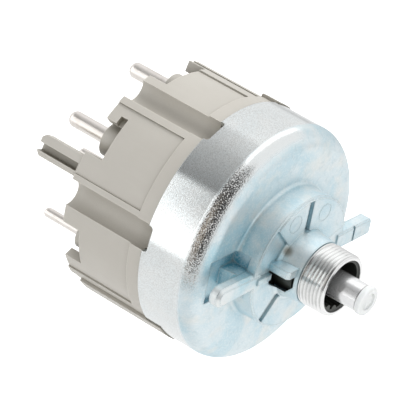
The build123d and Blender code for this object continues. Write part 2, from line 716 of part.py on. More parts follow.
def flute(angle):
    """A concave groove along the body."""
    start = COLLAR_Z - 1
    return at(angle, BODY_R + FLUTE_OFFSET) * ring(FLUTE_R, start, FLUTE_PAST_SEAM)


def finger():
    """The grooved guide finger behind the collar."""
    tip = COLLAR_Z - FINGER_LENGTH
    inner = FINGER_OUT_R - FINGER_THICK
    body = sector(inner, FINGER_OUT_R, tip, COLLAR_Z + CUT, *FINGER)
    end_face = body.faces().sort_by(Axis.Z)[0]
    body = chamfer(end_face.edges().filter_by(GeomType.LINE), FINGER_BEVEL)
    depth = FINGER_OUT_R - FINGER_GROOVE_DEPTH
    body -= sector(depth, FINGER_OUT_R + CUT, tip - CUT, COLLAR_Z - EMBED, *FINGER_GROOVE)
    return body


def connector_body():
    """The moulded rear body with its collar, towers, guide finger and slider guides."""
    body = ring(BODY_R, FLOOR_REAR_Z, 0)
    body += ring(CUP_BORE_R - SEAT, -1, SPIGOT_LENGTH)
    body += ring(BODY_R, COLLAR_Z, FLOOR_REAR_Z, BODY_R - COLLAR_WALL)
    body += ring(BODY_R + BAND_RISE, -FLANGE_BAND, 0)
    for start, end in RAILS:
        body += sector(BODY_R - CUT, BODY_R + RAIL_RISE, COLLAR_Z, 0, start, end)
    body -= ring(BODY_BORE_R, FLOOR_Z, SPIGOT_LENGTH + CUT)
    for start, end in COLLAR_GAPS:
        body -= sector(BODY_R - COLLAR_WALL - CUT, BODY_R + CUT, COLLAR_Z - CUT, FLOOR_REAR_Z, start, end)
    for angle in FLUTES:
        shell = at(angle, BODY_R + FLUTE_OFFSET) * ring(FLUTE_R + FLUTE_WALL, COLLAR_Z, FLOOR_REAR_Z + EMBED)
        body += shell & ring(BODY_R, COLLAR_Z, FLOOR_Z)
        body -= flute(angle)
    start, end, width, depth = LATCH_HOLE
    body -= sector(BODY_R - depth, BODY_R + CUT, FLOOR_REAR_Z - width, FLOOR_REAR_Z, start, end)
    inner = CUP_R + SEAT
    for start, end, rear, length in SKIRT_TABS:
        body += sector(inner, inner + TAB_THICK, -FLANGE_BAND, length, start, end)
        body += sector(BODY_R - CUT, inner + TAB_THICK, rear, -SEAT, start, end)
    body += finger()
    body += slider_guides()
    for _, radius, angle, pin_r in PINS:
        body += at(angle, radius) * ring(pin_r + TOWER_MORE, TOWER_Z, FLOOR_REAR_Z)
    for _, radius, angle, pin_r in PINS:
        body -= at(angle, radius) * ring(pin_r + PIN_STEM_MORE + SEAT, PIN_TIP_Z, FLOOR_Z + CUT)
    return body


def slider_guides():
    """Two grooved posts on the floor that guide the slider."""
    top = FLOOR_Z + GUIDE_HEIGHT
    near = SLIDER_HALF_Y + SLIDE
    far = near + GUIDE_THICK
    half = TONGUE_WIDTH / 2 + SLIDE
    guide = block(-GUIDE_HALF_X, GUIDE_HALF_X, near, far, FLOOR_Z - CUT, top)
    guide -= block(-half, half, near - CUT, near + TONGUE_DEPTH + SLIDE, FLOOR_Z, top + CUT)
    return guide + Rot(0, 0, 180) * guide


def connector_pin(radius, angle, pin_r):
    """A round contact pin with a domed tip and a flat contact head inside."""
    dome = pin_r * PIN_DOME
    land = pin_r - dome
    stem = pin_r + PIN_STEM_MORE
    head = stem + PIN_HEAD_MORE
    body = turned(
        Line((0, PIN_TIP_Z), (land, PIN_TIP_Z)),
        CenterArc((land, PIN_TIP_Z + dome), dome, -90, 90),
        Line((pin_r, PIN_TIP_Z + dome), (pin_r, TOWER_Z)),
        Line((pin_r, TOWER_Z), (stem, TOWER_Z)),
        Line((stem, TOWER_Z), (stem, FLOOR_Z)),
        Line((stem, FLOOR_Z), (head, FLOOR_Z)),
        Line((head, FLOOR_Z), (head, HEAD_Z)),
        Line((head, HEAD_Z), (0, HEAD_Z)),
        Line((0, HEAD_Z), (0, PIN_TIP_Z)),
    )
    return at(angle, radius) * body


def fog_slider():
    """The plastic slider that the shaft carries along, with its fork open to one side."""
    top = SLIDER_Z + SLIDER_HEIGHT
    body = block(-SLIDER_HALF_X, SLIDER_HALF_X, -SLIDER_HALF_Y, SLIDER_HALF_Y, SLIDER_Z, top)
    tongue = TONGUE_WIDTH / 2
    reach = SLIDER_HALF_Y + TONGUE_DEPTH
    body += block(-tongue, tongue, -reach, reach, SLIDER_Z, top)
    wide = SHAFT_R + SLIDE
    slim = FORK_R + SLIDE
    fork_top = FORK_Z + FORK_THICK
    steps = [(wide, SLIDER_Z - CUT, FORK_Z), (slim, FORK_Z - CUT, top), (wide, fork_top, top + CUT)]
    for half, z0, z1 in steps:
        body -= ring(half, z0, z1) + block(0, SLIDER_HALF_X + CUT, -half, half, z0, z1)
    return body


def fog_bridge():
    """The copper strip on the slider that joins the two leaves."""
    x = -SLIDER_HALF_X
    half = LEAF_AT_Y + LEAF_WIDTH / 2
    z0 = SLIDER_Z + FOG_STRIP_INSET
    z1 = SLIDER_Z + SLIDER_HEIGHT - FOG_STRIP_INSET
    body = block(x - FOG_STRIP, x, -half, half, z0, z1)
    for side in (-1, 1):
        pip = Rot(0, -90, 0) * ring(FOG_PIP_R, 0, FOG_PIP)
        body += Pos(x - FOG_STRIP, side * LEAF_AT_Y, (z0 + z1) / 2) * pip
    return body


def fog_leaf(side, pin):
    """A leaf contact that stands on a pin's head and rises beside the slider."""
    _, radius, angle, pin_r = pin
    pin_x = radius * math.cos(math.radians(angle))
    pin_y = radius * math.sin(math.radians(angle))
    face_x = -SLIDER_HALF_X - FOG_STRIP - FOG_PIP - SLIDE
    leaf_y = side * LEAF_AT_Y
    half = LEAF_WIDTH / 2
    foot_top = HEAD_Z + FOG_STRIP
    body = block(face_x - FOG_STRIP, face_x, leaf_y - half, leaf_y + half, HEAD_Z, HEAD_Z + LEAF_HEIGHT)
    far_x = min(pin_x, face_x) - half
    body += block(far_x, face_x, leaf_y - half, leaf_y + half, HEAD_Z, foot_top)
    if abs(pin_y - leaf_y) > half:
        low = min(pin_y, leaf_y) - half
        high = max(pin_y, leaf_y) - half
        body += block(far_x, far_x + LEAF_WIDTH, low, high, HEAD_Z, foot_top)
    return body


NODES = {
    "front_housing": front_housing(),
    "threaded_neck": threaded_neck(),
    "neck_liner": neck_liner(),
    "detent_ring": detent_ring(),
    "connector_body": connector_body(),
    "fog_leaf_1": fog_leaf(1, PINS[8]),
    "fog_leaf_2": fog_leaf(-1, PINS[9]),
    "rotor": rotor(),
    "detent_ball_1": detent_ball(BALL_ANGLES[0]),
    "detent_ball_2": detent_ball(BALL_ANGLES[1]),
    "detent_spring_1": detent_spring(BALL_ANGLES[0]),
    "detent_spring_2": detent_spring(BALL_ANGLES[1]),
    "pull_ball": pull_ball(),
    "pull_spring": pull_spring(),
    "spring_band": spring_band(),
    "shaft_tube": shaft_tube(),
    "light_rod": light_rod(),
    "drive_key": drive_key(),
    "retaining_clip": retaining_clip(),
    "fog_slider": fog_slider(),
    "fog_bridge": fog_bridge(),
}
for name, radius, angle, pin_r in PINS:
    NODES[name] = connector_pin(radius, angle, pin_r)
for k in range(BRIDGE_COUNT):
    NODES[f"contact_bridge_{k + 1}"] = bridge(k)
    NODES[f"bridge_spring_{k + 1}"] = bridge_spring(k)

# The origin is the middle of the threaded neck, and the front looks along -Y.
TO_ROW = Rot(90, 0, 0) * Pos(0, 0, -NECK_MID_Z)

os.makedirs("parts", exist_ok=True)
for name, solid in NODES.items():
    export_step(TO_ROW * solid, f"parts/{name}.step")
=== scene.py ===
"""Dresses a rotary and pull headlight switch and sets it up as in a studio photograph.

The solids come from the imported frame. The switch's threaded neck is modelled here, every shown
surface gets a procedural finish, and a camera and plain soft lamps complete the scene.
"""

import logging
import math
from dataclasses import dataclass, field
from enum import Enum

import bpy
from mathutils import Matrix, Vector


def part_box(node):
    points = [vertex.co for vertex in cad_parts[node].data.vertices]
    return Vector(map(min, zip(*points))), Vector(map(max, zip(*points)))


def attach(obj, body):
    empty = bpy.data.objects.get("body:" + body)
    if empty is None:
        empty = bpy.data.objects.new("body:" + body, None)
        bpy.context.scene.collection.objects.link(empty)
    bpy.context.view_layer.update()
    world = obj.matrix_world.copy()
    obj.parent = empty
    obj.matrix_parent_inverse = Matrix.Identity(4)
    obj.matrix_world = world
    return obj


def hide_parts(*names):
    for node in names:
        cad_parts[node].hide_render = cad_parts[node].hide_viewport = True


log = logging.getLogger("headlight_switch")

Colour = tuple[float, float, float]
Place = tuple[float, float, float]
Reach = tuple[float, float]

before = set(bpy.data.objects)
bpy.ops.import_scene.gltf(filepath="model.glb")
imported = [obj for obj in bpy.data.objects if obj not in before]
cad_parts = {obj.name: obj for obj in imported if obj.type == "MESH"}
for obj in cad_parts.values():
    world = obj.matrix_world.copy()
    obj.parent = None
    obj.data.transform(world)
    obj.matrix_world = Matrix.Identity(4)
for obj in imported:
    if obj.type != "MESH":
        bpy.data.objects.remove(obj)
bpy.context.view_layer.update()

MM = 0.001
SKIRT_R_MM = 30.0
PINS = range(1, 11)
BRIDGES = range(1, 4)


class Body(Enum):
    """The bodies of the frame that new pieces ride on."""

    HOUSING = "housing"


@dataclass(frozen=True)
class Blotches:
    """Soft blotches that a finish has in places.

    Args:
        size_mm: The rough size of one blotch, in millimetres.
        detail: The noise's detail.
        low: The noise's value where a blotch begins.
        high: The noise's value where it is full.
        amount: How strongly it covers, from 0 to 1.
    """

    size_mm: float
    detail: float
    low: float
    high: float
    amount: float


class Sheet:
    """A material's node graph, with short calls for the nodes that the finishes share."""

    def __init__(self, name: str) -> None:
        """Makes the material with one Principled shader.

        Args:
            name: The material's name.
        """
        self.material = bpy.data.materials.new(name)
        self.material.use_nodes = True
        self.tree = self.material.node_tree
        self.shader = self.tree.nodes["Principled BSDF"]
        self.coords = self.node("ShaderNodeTexCoord").outputs["Object"]

    def node(self, kind: str, **settings: object) -> bpy.types.Node:
        """Adds a node.

        Args:
            kind: Blender's name of the node type.
            settings: Attributes to set on the node.

        Returns:
            The new node.
        """
        new = self.tree.nodes.new(kind)
        for key, value in settings.items():
            setattr(new, key, value)
        return new

    def put(self, socket: bpy.types.NodeSocket, value: object) -> None:
        """Links an output to an input, or sets the input's value.

        Args:
            socket: The input.
            value: An output socket, a number, a vector or a colour.
        """
        if isinstance(value, bpy.types.NodeSocket):
            self.tree.links.new(value, socket)
        elif socket.type == "RGBA" and len(value) == 3:
            socket.default_value = (*value, 1.0)
        else:
            socket.default_value = value

    def feed(self, node: bpy.types.Node, **inputs: object) -> bpy.types.Node:
        """Sets or links a node's inputs by name, with underscores for spaces.

        Args:
            node: The node to feed.
            inputs: Values or output sockets by input name.

        Returns:
            The same node.
        """
        for key, value in inputs.items():
            self.put(node.inputs[key.replace("_", " ")], value)
        return node

    def math(
        self, operation: str, a: object, b: object = 0.0, c: object = 0.0
    ) -> bpy.types.NodeSocket:
        """Adds a math node.

        Args:
            operation: Blender's name of the operation.
            a: The first value or socket.
            b: The second value or socket.
            c: The third value or socket.

        Returns:
            The result's socket.
        """
        node = self.node("ShaderNodeMath", operation=operation)
        for socket, value in zip(node.inputs, (a, b, c)):
            self.put(socket, value)
        return node.outputs[0]

    def inverse(self, value: object) -> bpy.types.NodeSocket:
        """Turns a mask round, so that 0 becomes 1."""
        return self.math("SUBTRACT", 1.0, value)

    def noise(self, size_mm: float, detail: float = 3.0) -> bpy.types.NodeSocket:
        """Adds a noise texture whose blotches have a real size.

        Args:
            size_mm: The rough size of one blotch, in millimetres.
            detail: The noise's detail.

        Returns:
            The noise's factor socket.
        """
        node = self.node("ShaderNodeTexNoise")
        self.feed(node, Vector=self.coords, Scale=1.0 / (size_mm * MM), Detail=detail)
        return node.outputs["Fac"]

    def ramp(self, factor: object, low: float, high: float) -> bpy.types.NodeSocket:
        """Maps a value smoothly from a range to 0 to 1.

        Args:
            factor: The socket to map.
            low: The value that gives 0.
            high: The value that gives 1.

        Returns:
            The mapped value's socket.
        """
        node = self.node("ShaderNodeMapRange", interpolation_type="SMOOTHSTEP")
        self.feed(node, Value=factor, From_Min=low, From_Max=high)
        return node.outputs["Result"]

    def blotches(self, kind: Blotches) -> bpy.types.NodeSocket:
        """Adds the mask of a kind of blotches."""
        return self.ramp(self.noise(kind.size_mm, kind.detail), kind.low, kind.high)

    def mix(self, factor: object, a: object, b: object) -> bpy.types.NodeSocket:
        """Mixes two colours.

        Args:
            factor: The mix, from 0 to 1.
            a: The colour at 0.
            b: The colour at 1.

        Returns:
            The mixed colour's socket.
        """
        node = self.node("ShaderNodeMix", data_type="RGBA")
        for place, value in ((0, factor), (6, a), (7, b)):
            self.put(node.inputs[place], value)
        return node.outputs[2]

    def coat(
        self, under: object, mask: object, amount: float, over: Colour
    ) -> bpy.types.NodeSocket:
        """Lays a colour over another one where a mask lets it.

        Args:
            under: The colour below.
            mask: Where the coat lies, from 0 to 1.
            amount: How strongly it covers there, from 0 to 1.
            over: The coat's colour.

        Returns:
            The coated colour's socket.
        """
        return self.mix(self.math("MULTIPLY", mask, amount), under, over)

    def between(self, factor: object, a: object, b: object) -> bpy.types.NodeSocket:
        """Mixes two values.

        Args:
            factor: The mix, from 0 to 1.
            a: The value at 0.
            b: The value at 1.

        Returns:
            The mixed value's socket.
        """
        node = self.node("ShaderNodeMix", data_type="FLOAT")
        for place, value in ((0, factor), (2, a), (3, b)):
            self.put(node.inputs[place], value)
        return node.outputs[0]

    def axes(self) -> tuple[bpy.types.NodeSocket, ...]:
        """Splits the coordinates into their X, Y and Z sockets."""
        split = self.node("ShaderNodeSeparateXYZ")
        self.feed(split, Vector=self.coords)
        return tuple(split.outputs)

    def length(self, x: object, z: object) -> bpy.types.NodeSocket:
        """The length of a flat vector."""
        squares = self.math("ADD", self.math("MULTIPLY", x, x), self.math("MULTIPLY", z, z))
        return self.math("SQRT", squares)

    def lines(
        self, along_mm: float, around_mm: float, detail: float = 4.0
    ) -> bpy.types.NodeSocket:
        """Adds a noise texture that is stretched along or round the switch's axis.

        Args:
            along_mm: The length of a blotch along the axis, in millimetres.
            around_mm: The length of a blotch round the axis at the skirt, in millimetres.
            detail: The noise's detail.

        Returns:
            The noise's factor socket.
        """
        x, y, z = self.axes()
        radius = self.length(x, z)
        arc = self.math("MULTIPLY", self.math("ARCTAN2", z, x), SKIRT_R_MM / around_mm)
        join = self.node("ShaderNodeCombineXYZ")
        length = along_mm * MM
        along = self.math("DIVIDE", y, length)
        self.feed(join, X=arc, Y=along, Z=self.math("DIVIDE", radius, length))
        node = self.node("ShaderNodeTexNoise")
        self.feed(node, Vector=join.outputs[0], Scale=1.0, Detail=detail)
        return node.outputs["Fac"]

    def facing(self, degrees: float) -> bpy.types.NodeSocket:
        """How near a point is to one side of the switch, seen along its axis.

        Args:
            degrees: The side's angle from the right-hand arm.

        Returns:
            The socket with the cosine of the angle between the point and that side.
        """
        x, _, z = self.axes()
        turn = math.radians(degrees)
        sideways = self.math("MULTIPLY", x, math.cos(turn))
        along = self.math("ADD", sideways, self.math("MULTIPLY", z, math.sin(turn)))
        radius, _ = self.radius_and_height()
        return self.math("DIVIDE", along, radius)

    def radius_and_height(self) -> tuple[bpy.types.NodeSocket, bpy.types.NodeSocket]:
        """The distance from the axis and the height along it.

        Returns:
            The radius socket and the Y socket, in metres.
        """
        x, y, z = self.axes()
        return self.length(x, z), y

    def distance_to(self, place: Place) -> bpy.types.NodeSocket:
        """The distance from a place.

        Args:
            place: The place, in metres.

        Returns:
            The distance socket, in metres.
        """
        node = self.node("ShaderNodeVectorMath", operation="DISTANCE")
        self.put(node.inputs[0], self.coords)
        self.put(node.inputs[1], place)
        return node.outputs["Value"]

    def near(self, place: Place, reach: Reach) -> bpy.types.NodeSocket:
        """How near a place is, from 1 within the reach's first distance to 0 past its second."""
        return self.inverse(self.ramp(self.distance_to(place), *reach))

    def crevice(self, reach_mm: float) -> bpy.types.NodeSocket:
        """How open the surface is, from 0 in a crevice to 1 in the open.

        Args:
            reach_mm: How far the look reaches, in millimetres.

        Returns:
            The openness socket.
        """
        node = self.node("ShaderNodeAmbientOcclusion", samples=8)
        self.feed(node, Distance=reach_mm * MM)
        return node.outputs["AO"]

    def edges(self, radius_mm: float, full: float) -> bpy.types.NodeSocket:
        """How near a sharp edge is, from 0 on open faces to 1 on the edge.

        Args:
            radius_mm: How far an edge reaches, in millimetres.
            full: How far the normals must part for the full value.

        Returns:
            The edge socket.
        """
        turned = self.node("ShaderNodeVectorMath", operation="DOT_PRODUCT")
        plain = self.node("ShaderNodeNewGeometry")
        self.put(turned.inputs[0], self.soft_edges(radius_mm))
        self.put(turned.inputs[1], plain.outputs["Normal"])
        return self.ramp(self.inverse(turned.outputs["Value"]), 0.01, full)

    def bump(self, height: object, depth_mm: float, under: object = None) -> bpy.types.NodeSocket:
        """Adds a bump from a height pattern.

        Args:
            height: The height socket, from 0 to 1.
            depth_mm: The depth of the relief, in millimetres.
            under: A normal to add it on, or None.

        Returns:
            The normal socket.
        """
        node = self.node("ShaderNodeBump")
        self.feed(node, Height=height, Distance=depth_mm * MM, Strength=1.0)
        if under is not None:
            self.feed(node, Normal=under)
        return node.outputs["Normal"]

    def soft_edges(self, radius_mm: float) -> bpy.types.NodeSocket:
        """A normal that rounds the sharp edges, as a worn or cast edge is.

        Args:
            radius_mm: The radius of the edges, in millimetres.

        Returns:
            The normal socket.
        """
        node = self.node("ShaderNodeBevel", samples=4)
        self.feed(node, Radius=radius_mm * MM)
        return node.outputs["Normal"]


@dataclass(frozen=True)
class ZincFinish:
    """Zinc casting with blue-white passivation and a turned skirt.

    Args:
        open_colour: The colour of open faces.
        corner_shade_colour: The colour of the painted teal shade that gathers towards corners.
        crease_shade_colour: The colour of the painted shade right down in corners and slots.
        haze_colour: The warm haze that lies on it in places.
        tinge_colour: The bluer colour of broad clouds on it.
        stain_and_dark_edge_reflection_colour: The colour of the darker stains and skirt scratches,
            and of the painted dark reflection round sharp edges.
        dust_and_edge_highlight_colour: The colour of the pale dust and of the painted highlight on
            sharp edges.
        speckle_reflection_colour: The brownish colour of the shoulder's fine pitting, a painted
            dark reflection.
        painted_glint_colour: The colour of the pale specks between them, as painted glints.
        fleck_colour: The colour of the skirt's fine flecks.
        teal_shade_colour: The colour of the painted teal shade round the left arm's root.
        teal_shade_at: The middle of that shade, in metres.
        teal_shade_reach: How far it is full and how far it goes, in metres.
        pale_end_colour: The paler colour laid on the left arm's end.
        pale_end_at: The middle of that end, in metres.
        pale_end_reach: How far the paler end is full and how far it goes, in metres.
        hole_shade_colour: The colour of the painted shade of a small pit at the hub's foot.
        hole_shade_at: That shade's place, in metres.
        hole_shade_reach: How far that shade is full and how far it goes, in metres.
        speckle_and_dark_reflection_side: The middle of the shoulder's speckled stretch and of its
            painted
        dark reflection, as an angle from the right-hand arm.
        glossy_side: The middle of the shoulder's glossy stretch, as the same angle.
        skirt_colour: The colour of the turned skirt.
        skirt_rough: The roughness of the turned skirt.
        shoulder_rough: The roughness of the shoulder's glossy stretch.
        face_rough: The roughness of the cast faces.
        edge_rough: The roughness of the sharp edges, which also carry the painted highlight.
        face_metal: How much of the metal shows through the faces' passivation.
        skirt_end_y: Where the skirt ends and the shoulder begins, in metres.
        face_y: The height of the cup's front face, in metres.
        outside_r: The radii between which the cup's outside begins, in metres.
        shoulder_r: The radii between which its shoulder begins, in metres.
        clouds: The broad clouds.
        teal_shade_blotches: The breaks in the painted teal shade.
        hazes: The warm haze.
        stains: The darker stains.
        dust: The fine pale dust.
        flecks: The skirt's fine flecks.
    """

    open_colour: Colour = (0.70, 0.80, 0.835)
    corner_shade_colour: Colour = (0.11, 0.37, 0.48)
    crease_shade_colour: Colour = (0.08, 0.16, 0.19)
    haze_colour: Colour = (0.84, 0.83, 0.79)
    tinge_colour: Colour = (0.50, 0.70, 0.78)
    stain_and_dark_edge_reflection_colour: Colour = (0.40, 0.52, 0.56)
    dust_and_edge_highlight_colour: Colour = (0.90, 0.93, 0.93)
    speckle_reflection_colour: Colour = (0.34, 0.31, 0.28)
    painted_glint_colour: Colour = (0.66, 0.65, 0.64)
    fleck_colour: Colour = (0.56, 0.56, 0.54)
    teal_shade_colour: Colour = (0.24, 0.55, 0.66)
    teal_shade_at: Place = (-0.0190, 0.0150, 0.0040)
    teal_shade_reach: Reach = (0.004, 0.015)
    pale_end_colour: Colour = (0.87, 0.87, 0.855)
    pale_end_at: Place = (-0.0290, 0.0098, 0.0)
    pale_end_reach: Reach = (0.0024, 0.0066)
    hole_shade_colour: Colour = (0.16, 0.13, 0.08)
    hole_shade_at: Place = (-0.0067, 0.0089, 0.0057)
    hole_shade_reach: Reach = (0.0004, 0.0019)
    speckle_and_dark_reflection_side: float = 151.0
    glossy_side: float = 128.0
    skirt_colour: Colour = (0.87, 0.885, 0.88)
    skirt_rough: float = 0.15
    shoulder_rough: float = 0.17
    face_rough: float = 0.38
    edge_rough: float = 0.12
    face_metal: float = 0.64
    skirt_end_y: float = 0.0209
    face_y: float = 0.0163
    outside_r: Reach = (0.0300, 0.0304)
    shoulder_r: Reach = (0.0262, 0.0278)
    clouds: Blotches = Blotches(9.0, 5.0, 0.42, 0.60, 0.55)
    teal_shade_blotches: Blotches = Blotches(5.0, 4.0, 0.30, 0.62, 0.55)
    hazes: Blotches = Blotches(6.0, 6.0, 0.46, 0.72, 0.55)
    stains: Blotches = Blotches(1.4, 8.0, 0.52, 0.68, 0.20)
    dust: Blotches = Blotches(0.40, 4.0, 0.50, 0.62, 0.30)
    flecks: Blotches = Blotches(0.30, 4.0, 0.42, 0.62, 0.42)

    def build(self) -> bpy.types.Material:
        """Makes the material.

        Returns:
            The finished material.
        """
        sheet = Sheet("zinc_passivated")
        radius, height = sheet.radius_and_height()
        outside = sheet.ramp(radius, *self.outside_r)
        behind = sheet.ramp(height, self.skirt_end_y - 0.0006, self.skirt_end_y + 0.0004)
        on_skirt = sheet.math("MULTIPLY", outside, behind)
        off_skirt = sheet.inverse(on_skirt)
        band = sheet.ramp(height, self.face_y + 0.0003, self.face_y + 0.0016)
        rounded = sheet.math("MULTIPLY", sheet.ramp(radius, *self.shoulder_r), band)
        rounded = sheet.math("MULTIPLY", rounded, off_skirt)
        # the side of the shoulder that holds its speckle relief and the painted dark reflection on
        # it
        worn = sheet.ramp(sheet.facing(self.speckle_and_dark_reflection_side), 0.80, 0.91)
        shoulder = sheet.math("MULTIPLY", rounded, worn)
        bright = sheet.ramp(sheet.facing(self.glossy_side), 0.60, 0.80)
        glossy = sheet.math("MULTIPLY", rounded, bright)

        # the passivation's clouds, then painted teal shade round the left arm's root, in corners
        # and in creases
        cloud = sheet.blotches(self.clouds)
        colour = sheet.coat(self.open_colour, cloud, self.clouds.amount, self.tinge_colour)
        # painted teal shade, in blotches, round the left arm's root
        near = sheet.near(self.teal_shade_at, self.teal_shade_reach)
        teal_shade_mask = sheet.math("MULTIPLY", near, sheet.blotches(self.teal_shade_blotches))
        colour = sheet.coat(colour, teal_shade_mask, self.teal_shade_blotches.amount, self.teal_shade_colour)
        openness = sheet.crevice(3.6)
        # painted shade: the faces turn teal by how enclosed they are, more strongly near the left
        # arm's root
        hollow_shade = sheet.inverse(sheet.ramp(openness, 0.30, 0.97))
        hollow_shade = sheet.math("MULTIPLY", hollow_shade, sheet.between(near, 0.58, 1.25))
        colour = sheet.mix(sheet.math("MINIMUM", hollow_shade, 1.0), colour, self.corner_shade_colour)
        # painted shade: dark lines where the surface closes into a crease
        crease_shade_mask = sheet.inverse(sheet.ramp(sheet.crevice(0.9), 0.15, 0.74))
        colour = sheet.coat(colour, crease_shade_mask, 0.60, self.crease_shade_colour)

        # haze, stains, dust, the paler arm end, a painted pit's shade, and painted reflection and
        # highlight at the edges
        haze = sheet.blotches(self.hazes)
        colour = sheet.coat(colour, haze, self.hazes.amount, self.haze_colour)
        stain = sheet.blotches(self.stains)
        colour = sheet.coat(colour, stain, self.stains.amount, self.stain_and_dark_edge_reflection_colour)
        dust = sheet.blotches(self.dust)
        colour = sheet.coat(colour, dust, self.dust.amount, self.dust_and_edge_highlight_colour)
        # the left arm's end is laid paler
        pale_end_mask = sheet.near(self.pale_end_at, self.pale_end_reach)
        colour = sheet.coat(colour, pale_end_mask, 0.62, self.pale_end_colour)
        # painted dark reflection: a darker band round the sharp edges
        colour = sheet.coat(colour, sheet.edges(0.80, 0.06), 0.75, self.stain_and_dark_edge_reflection_colour)
        # painted highlight: sharp edges in the open are laid pale
        edge = sheet.math("MULTIPLY", sheet.edges(0.28, 0.12), sheet.ramp(openness, 0.55, 0.90))
        colour = sheet.coat(colour, edge, 0.95, self.dust_and_edge_highlight_colour)
        # painted shade: a dark brown spot stands for a small pit at the hub's foot
        hole_shade_mask = sheet.near(self.hole_shade_at, self.hole_shade_reach)
        colour = sheet.coat(colour, hole_shade_mask, 0.75, self.hole_shade_colour)

        # the turned skirt, and the speckled shoulder with its painted dark reflection and glints
        turned = sheet.math("MAXIMUM", on_skirt, glossy)
        colour = sheet.coat(colour, turned, 0.80, self.skirt_colour)
        brushed = sheet.lines(0.10, 0.5, 4.0)
        speckle = sheet.noise(0.31, 2.0)
        # painted dark reflection and glints on that side: the pitting darkens towards brown, pale
        # specks lose their metal
        dark_speckle_reflection = sheet.math("MULTIPLY", sheet.ramp(speckle, 0.52, 0.42), shoulder)
        colour = sheet.coat(colour, dark_speckle_reflection, 0.60, self.speckle_reflection_colour)
        painted_glints = sheet.math("MULTIPLY", sheet.ramp(speckle, 0.54, 0.66), shoulder)
        colour = sheet.mix(painted_glints, colour, self.painted_glint_colour)
        scratch = sheet.math("MULTIPLY", sheet.ramp(brushed, 0.50, 0.66), on_skirt)
        colour = sheet.coat(colour, scratch, 0.20, self.stain_and_dark_edge_reflection_colour)
        fleck = sheet.math("MULTIPLY", sheet.blotches(self.flecks), on_skirt)
        colour = sheet.coat(colour, fleck, self.flecks.amount, self.fleck_colour)

        # gloss, relief and how much of the metal is bare
        grain = sheet.noise(0.75, 4.0)
        mottle = sheet.ramp(sheet.noise(4.5, 3.0), 0.3, 0.7)
        rough = sheet.math("MULTIPLY_ADD", mottle, 0.12, self.face_rough - 0.06)
        skirt = sheet.math("MULTIPLY_ADD", brushed, 0.16, self.skirt_rough - 0.07)
        glazed = sheet.between(on_skirt, rough, skirt)
        glazed = sheet.between(glossy, glazed, self.shoulder_rough)
        glazed = sheet.between(edge, glazed, self.edge_rough)
        normal = sheet.soft_edges(0.22)
        normal = sheet.bump(sheet.math("MULTIPLY", grain, off_skirt), 0.030, normal)
        normal = sheet.bump(sheet.math("MULTIPLY", brushed, on_skirt), 0.0035, normal)
        speckled = sheet.math("MULTIPLY", speckle, sheet.between(on_skirt, shoulder, 0.03))
        normal = sheet.bump(speckled, 0.10, normal)
        bare = sheet.between(sheet.math("MAXIMUM", on_skirt, rounded), self.face_metal, 1.0)
        bare = sheet.math("MULTIPLY", bare, sheet.inverse(painted_glints))
        bare = sheet.math("MAXIMUM", bare, edge)
        sheet.feed(
            sheet.shader, Base_Color=colour, Metallic=bare, Roughness=glazed, Normal=normal
        )
        return sheet.material


@dataclass(frozen=True)
class MetalFinish:
    """Plain bright metal with fine lines round the axis or all over.

    Args:
        name: The material's name.
        colour: The metal's colour.
        tint: The colour of its stains.
        rough: The roughness.
        line_mm: The width of its fine lines, in millimetres, or 0 for an even grain.
        relief_mm: The depth of its relief, in millimetres.
        edge_mm: The radius of its edges, in millimetres.
        groove_shade_amount: How strongly its fine grooves are darkened as painted shade, from 0 to
            1.
        groove_shade_and_end_ring_colour: The colour of that painted shade and of the dark end
            ring.
        end_y: Where the turned end has its dark chamfer, in metres, or 0 for none.
        bare: How much of the surface is bare metal.
        stains: Its stains.
    """

    name: str
    colour: Colour
    tint: Colour
    rough: float
    line_mm: float = 0.0
    relief_mm: float = 0.004
    edge_mm: float = 0.06
    groove_shade_amount: float = 0.0
    groove_shade_and_end_ring_colour: Colour = (0.22, 0.22, 0.21)
    end_y: float = 0.0
    bare: float = 1.0
    stains: Blotches = Blotches(3.2, 4.0, 0.48, 0.74, 0.5)

    def build(self) -> bpy.types.Material:
        """Makes the material.

        Returns:
            The finished material.
        """
        sheet = Sheet(self.name)
        stain = sheet.blotches(self.stains)
        colour = sheet.coat(self.colour, stain, self.stains.amount, self.tint)
        # painted shade: fine grooves and corners darken by how enclosed they are
        hollow_shade = sheet.inverse(sheet.ramp(sheet.crevice(0.7), 0.30, 0.90))
        colour = sheet.coat(colour, hollow_shade, self.groove_shade_amount, self.groove_shade_and_end_ring_colour)
        if self.end_y != 0:
            _, height = sheet.radius_and_height()
            ring = sheet.ramp(height, self.end_y + 0.00045, self.end_y + 0.00015)
            colour = sheet.coat(colour, ring, 0.85, self.groove_shade_and_end_ring_colour)
        if self.line_mm > 0:
            pattern = sheet.lines(self.line_mm, 6.0)
        else:
            pattern = sheet.noise(0.35, 4.0)
        rough = sheet.math("MULTIPLY_ADD", pattern, 0.14, self.rough - 0.06)
        normal = sheet.bump(pattern, self.relief_mm, sheet.soft_edges(self.edge_mm))
        sheet.feed(
            sheet.shader, Base_Color=colour, Metallic=self.bare, Roughness=rough, Normal=normal
        )
        return sheet.material


